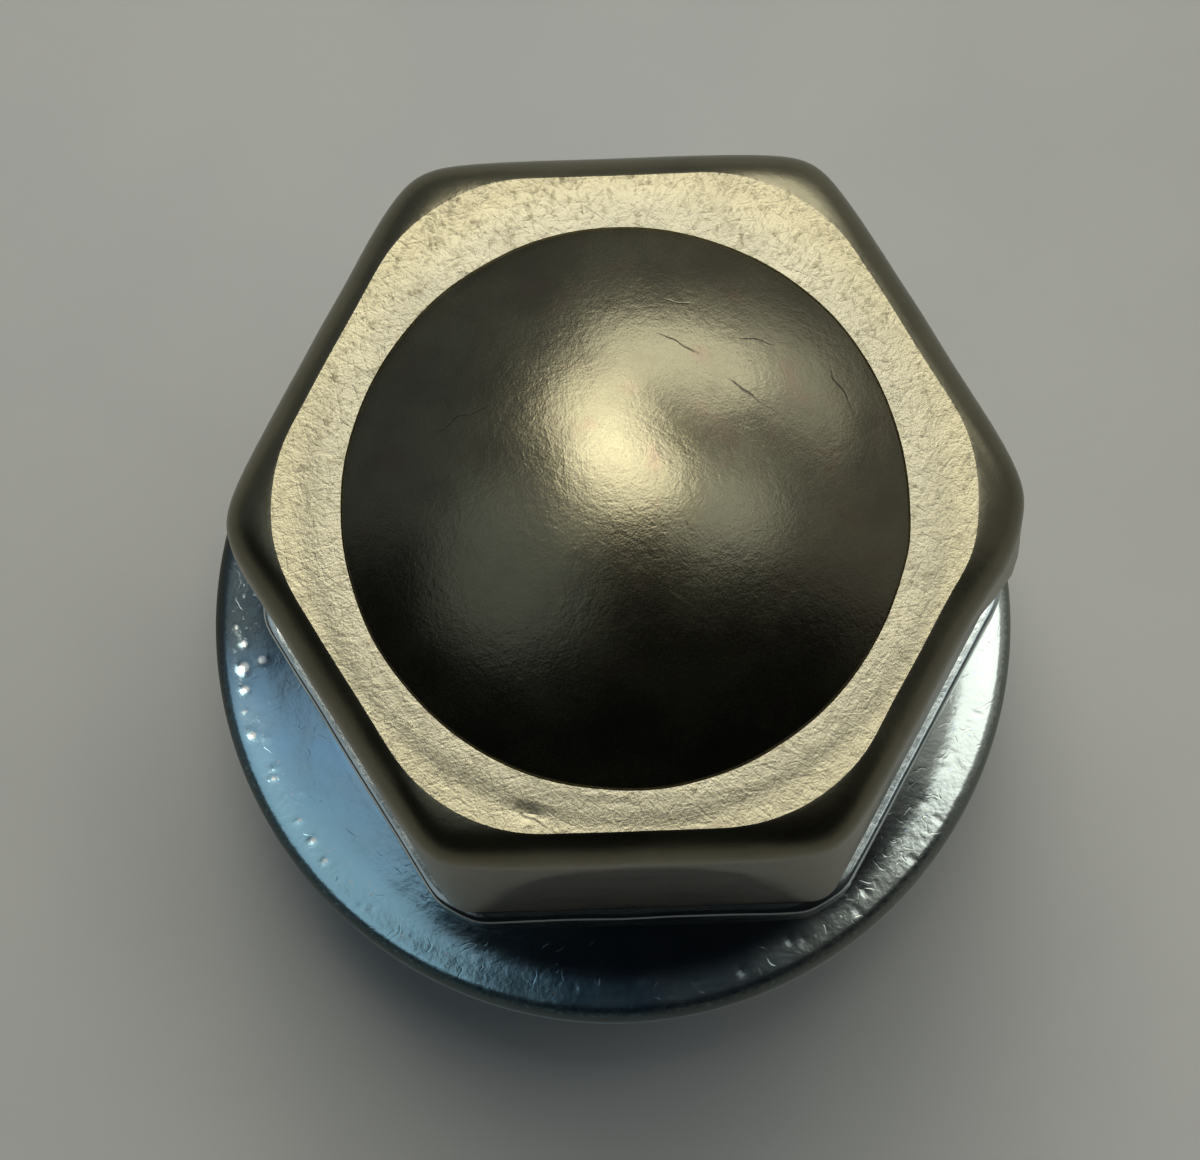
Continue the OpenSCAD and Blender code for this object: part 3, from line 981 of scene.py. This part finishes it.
@dataclass(frozen=True)
class BlueZinc:
    """Blue passivated zinc plate. Its dark rim, pale +X side, bright lower left, pale knocks, dark front and dull back
    left are painted highlights, reflection and shade by place.
    """

    colour: Triple = (0.40, 0.68, 0.92)
    dull: Triple = (0.42, 0.62, 0.76)
    # Dark tone of the back left, a painted shade.
    back_left_shade: Triple = (0.105, 0.125, 0.118)
    # Pale tone towards +X, a painted reflection.
    painted_right_sheen: Triple = (0.78, 0.84, 0.76)
    pale: Triple = (0.72, 0.84, 0.90)
    # Dark tone of the rim, a painted shade.
    rim: Triple = (0.062, 0.068, 0.058)
    roughness: float = 0.2
    axis: Pair = (-0.632, -0.301)
    rim_from: float = 11.45

    def material(self) -> bpy.types.Material:
        """Builds the finish's node material."""
        n = Nodes("blue_zinc")
        dx, dy = n.calc("SUBTRACT", n.x, self.axis[0]), n.calc("SUBTRACT", n.y, self.axis[1])
        reach = n.length(dx, dy)
        clouds = n.noise(0.7, 5.0, 3)
        fine = n.noise(7.0, 3.0, 6)
        specks = n.ramp(n.noise(5.0, 2.0, 9), 0.62, 0.72)
        ring = n.scaled(n.ramp(reach, 10.3, 10.8),
                        n.scaled(n.ramp(reach, 11.1, 11.35, 1.0, 0.0), n.ramp(n.z, 8.0, 8.3)))
        tone = n.blend(n.ramp(clouds, 0.3, 0.7), self.colour, self.dull)
        # Painted reflection: the plate pales towards +X.
        tone = n.blend(n.ramp(n.calc("ADD", dx, n.scaled(clouds, 4.0)), 0.0, 9.5, 0.0, 0.95), tone, self.painted_right_sheen)
        # Painted highlight: a bright blue patch towards the lower left.
        low_left = n.total([n.scaled(dx, -0.67), n.scaled(dy, -0.74)])
        tone = n.blend(n.ramp(low_left, 8.0, 11.2), tone, (0.52, 0.86, 1.0))
        # Painted shade: the plate is darkened towards -Y, less so near the rim.
        low_mid = n.total([n.scaled(dx, 0.12), n.scaled(dy, -0.99)])
        front = n.scaled(n.ramp(low_mid, 7.2, 8.6), n.ramp(reach, 10.2, 10.9, 0.75, 0.0))
        tone = n.blend(front, tone, (0.12, 0.15, 0.16))
        # Painted shade: the back left, towards +Y and -X, is darkened.
        tone = n.blend(n.ramp(dy, -3.2, 0.5, 0.0, 0.92), tone, n.blend(n.ramp(dx, -3.0, 3.0), self.back_left_shade, tone))
        tone = n.blend(n.scaled(specks, n.calc("ADD", n.scaled(ring, 0.7), 0.15)), tone, self.pale)
        knocked = n.attribute("knocked")
        # Painted highlight: the real knocks are painted near-white, as glints.
        tone = n.blend(n.ramp(knocked, 0.25, 0.7), tone, (0.92, 0.95, 0.94))
        edge = n.calc("ADD", reach, n.swing(fine, 0.25))
        # Painted shade: the rim is darkened, lighter towards +X as a painted reflection.
        rimmed = n.scaled(n.ramp(edge, self.rim_from, self.rim_from + 0.25), n.ramp(n.z, 6.0, 7.9, 0.1, 1.0))
        tone = n.blend(n.scaled(rimmed, 0.9), tone, n.blend(n.ramp(dx, 3.0, 9.0), self.rim, (0.15, 0.17, 0.15)))
        rough = n.total([self.roughness, n.swing(clouds, 0.1), n.scaled(rimmed, 0.3), n.scaled(knocked, 0.15)])
        relief = n.total([n.scaled(n.noise(2.2, 3.0, 12), 9.0), n.scaled(fine, 4.0),
                          n.scaled(n.strokes(1.5, 0.03, 4), -2.0)])
        return n.finish(tone, 1.0, rough, relief)


@dataclass(frozen=True)
class PlatedSteel:
    """Zinc plate over forged steel, with painted shade on the flat towards -Y."""

    colour: Triple = (0.62, 0.70, 0.70)
    dark: Triple = (0.52, 0.60, 0.61)
    roughness: float = 0.16

    def material(self) -> bpy.types.Material:
        """Builds the finish's node material."""
        n = Nodes("plated_steel")
        clouds = n.noise(0.8, 5.0, 1)
        fine = n.noise(9.0, 3.0, 4)
        drawn = n.noise(3.0, 2.0, 7, (1, 1, 0.15))
        tone = n.blend(n.ramp(clouds, 0.35, 0.65), self.dark, self.colour)
        tone = n.blend(n.ramp(fine, 0.6, 0.8, 0.0, 0.3), tone, (0.72, 0.76, 0.75))
        # Painted shade: the flat towards -Y is darkened.
        tone = n.blend(n.scaled(n.ramp(n.y, -8.6, -9.3), 0.85), tone, (0.12, 0.14, 0.145))
        rough = n.calc("ADD", self.roughness, n.swing(clouds, 0.2))
        relief = n.total([n.scaled(drawn, 4.0), n.scaled(fine, 1.5)])
        return n.finish(tone, 0.9, rough, relief)


SATIN_STEEL = SatinSteel()
BLUE_ZINC = BlueZinc()
PLATED_STEEL = PlatedSteel()


# ---------------------------------------------------------------- the studio


@dataclass
class Studio:
    """Floor, lights and camera."""

    camera_place: Triple = (1.01, -20.21, 176.74)
    camera_turn: Triple = (-7.14, -0.90, 1.82)
    lens: float = 171.69
    lamp_away: float = 0.6
    room_front: Triple = (0.004, 0.005, 0.006)
    room_left: Triple = (0.14, 0.16, 0.18)
    room_right: Triple = (0.27, 0.27, 0.26)

    def camera(self) -> None:
        """Stands the camera almost straight above the nut."""
        turn = [Matrix.Rotation(math.radians(a), 3, axis) for a, axis in zip(self.camera_turn, "XYZ")]
        world_to_camera = turn[0] @ turn[1] @ turn[2]
        data = bpy.data.cameras.new("overhead_camera")
        data.lens = self.lens
        data.sensor_width = 36
        data.clip_start = 0.01
        data.clip_end = 10
        obj = bpy.data.objects.new("overhead_camera", data)
        bpy.context.scene.collection.objects.link(obj)
        obj.matrix_world = Matrix.Translation(Vector(self.camera_place) * MM) @ world_to_camera.transposed().to_4x4()
        bpy.context.scene.camera = obj

    def floor(self) -> None:
        """Lays a plain pale floor under the nut."""
        piece = Workpiece("floor")
        piece.only()
        bpy.ops.mesh.primitive_plane_add(size=3, location=(0, 0, 0))
        piece.take()
        n = Nodes("pale_floor")
        tone = n.blend(n.ramp(n.noise(0.12, 5.0, 3), 0.35, 0.65), (0.372, 0.382, 0.38), (0.387, 0.397, 0.392))
        relief = n.scaled(n.noise(2.5, 4.0, 1), 4.0)
        piece.obj.data.materials.append(n.finish(tone, 0.0, 0.85, relief))

    def surroundings(self) -> None:
        """Gives the room its tone: dark in front, dim and cooler at the sides and behind."""
        world = bpy.data.worlds.new("studio")
        bpy.context.scene.world = world
        world.use_nodes = True
        n = Tree(world.node_tree)
        x, y, _ = n.split(n.tree.nodes.new("ShaderNodeTexCoord").outputs["Generated"])
        depth = n.calc("MULTIPLY_ADD", n.calc("MAXIMUM", x, 0.0), 0.38, y)
        sides = n.blend(n.ramp(x, -0.8, 0.8), self.room_left, self.room_right)
        room = n.blend(n.ramp(depth, -0.1, 0.15), self.room_front, sides)
        n.feed(n.tree.nodes["Background"].inputs["Color"], room)

    def lamp(self, name: str, azimuth: float, tilt: float, size: Pair, radiance: float,
             colour: Triple) -> None:
        """Hangs one soft oval lamp that faces the nut.

        Args:
            name: the lamp's name.
            azimuth: direction that it stands in, in degrees from +X.
            tilt: its angle from straight above, in degrees.
            size: its width and its height along the tilt, in metres.
            radiance: how bright its face looks, where 1 is white.
            colour: colour of its light.
        """
        light = bpy.data.lights.new(name, "AREA")
        light.shape = "ELLIPSE"
        light.size, light.size_y = size
        light.energy = radiance * math.pi * size[0] * size[1] * math.pi / 4
        light.color = colour
        obj = bpy.data.objects.new(name, light)
        bpy.context.scene.collection.objects.link(obj)
        turn = Matrix.Rotation(math.radians(azimuth + 90), 4, "Z") @ Matrix.Rotation(math.radians(tilt), 4, "X")
        obj.matrix_world = turn @ Matrix.Translation((0, 0, self.lamp_away))

    def lights(self) -> None:
        """Hangs the studio's soft lamps."""
        self.lamp("ceiling_panel", 86, 13.5, (0.32, 0.20), 6.1, (1, 0.95, 0.82))
        self.lamp("back_panel", 101, 30, (0.27, 0.27), 5.2, (1, 0.95, 0.82))
        self.lamp("upper_panel", 72, 48, (0.48, 0.21), 3.4, (1, 0.97, 0.88))
        self.lamp("right_panel", 8, 27, (0.26, 0.30), 1.1, (0.97, 1, 0.98))
        self.lamp("low_right_panel", 42, 62, (0.40, 0.30), 1.0, (1, 1, 0.95))
        self.lamp("left_panel", 199, 34, (0.46, 0.48), 0.39, (0.82, 0.93, 1))

    def build(self) -> None:
        """Sets up the whole studio."""
        scene = bpy.context.scene
        scene.view_settings.view_transform = "Standard"
        self.camera()
        self.floor()
        self.surroundings()
        self.lights()


def main() -> None:
    """Builds every piece in order, then the studio."""
    logging.basicConfig(level=logging.INFO, format="%(name)s: %(message)s")
    DrawnCap().build()
    ForgedNut().build()
    StudThread().build()
    ConicalWasher().build()
    Studio().build()


if __name__ == "__main__":
    main()
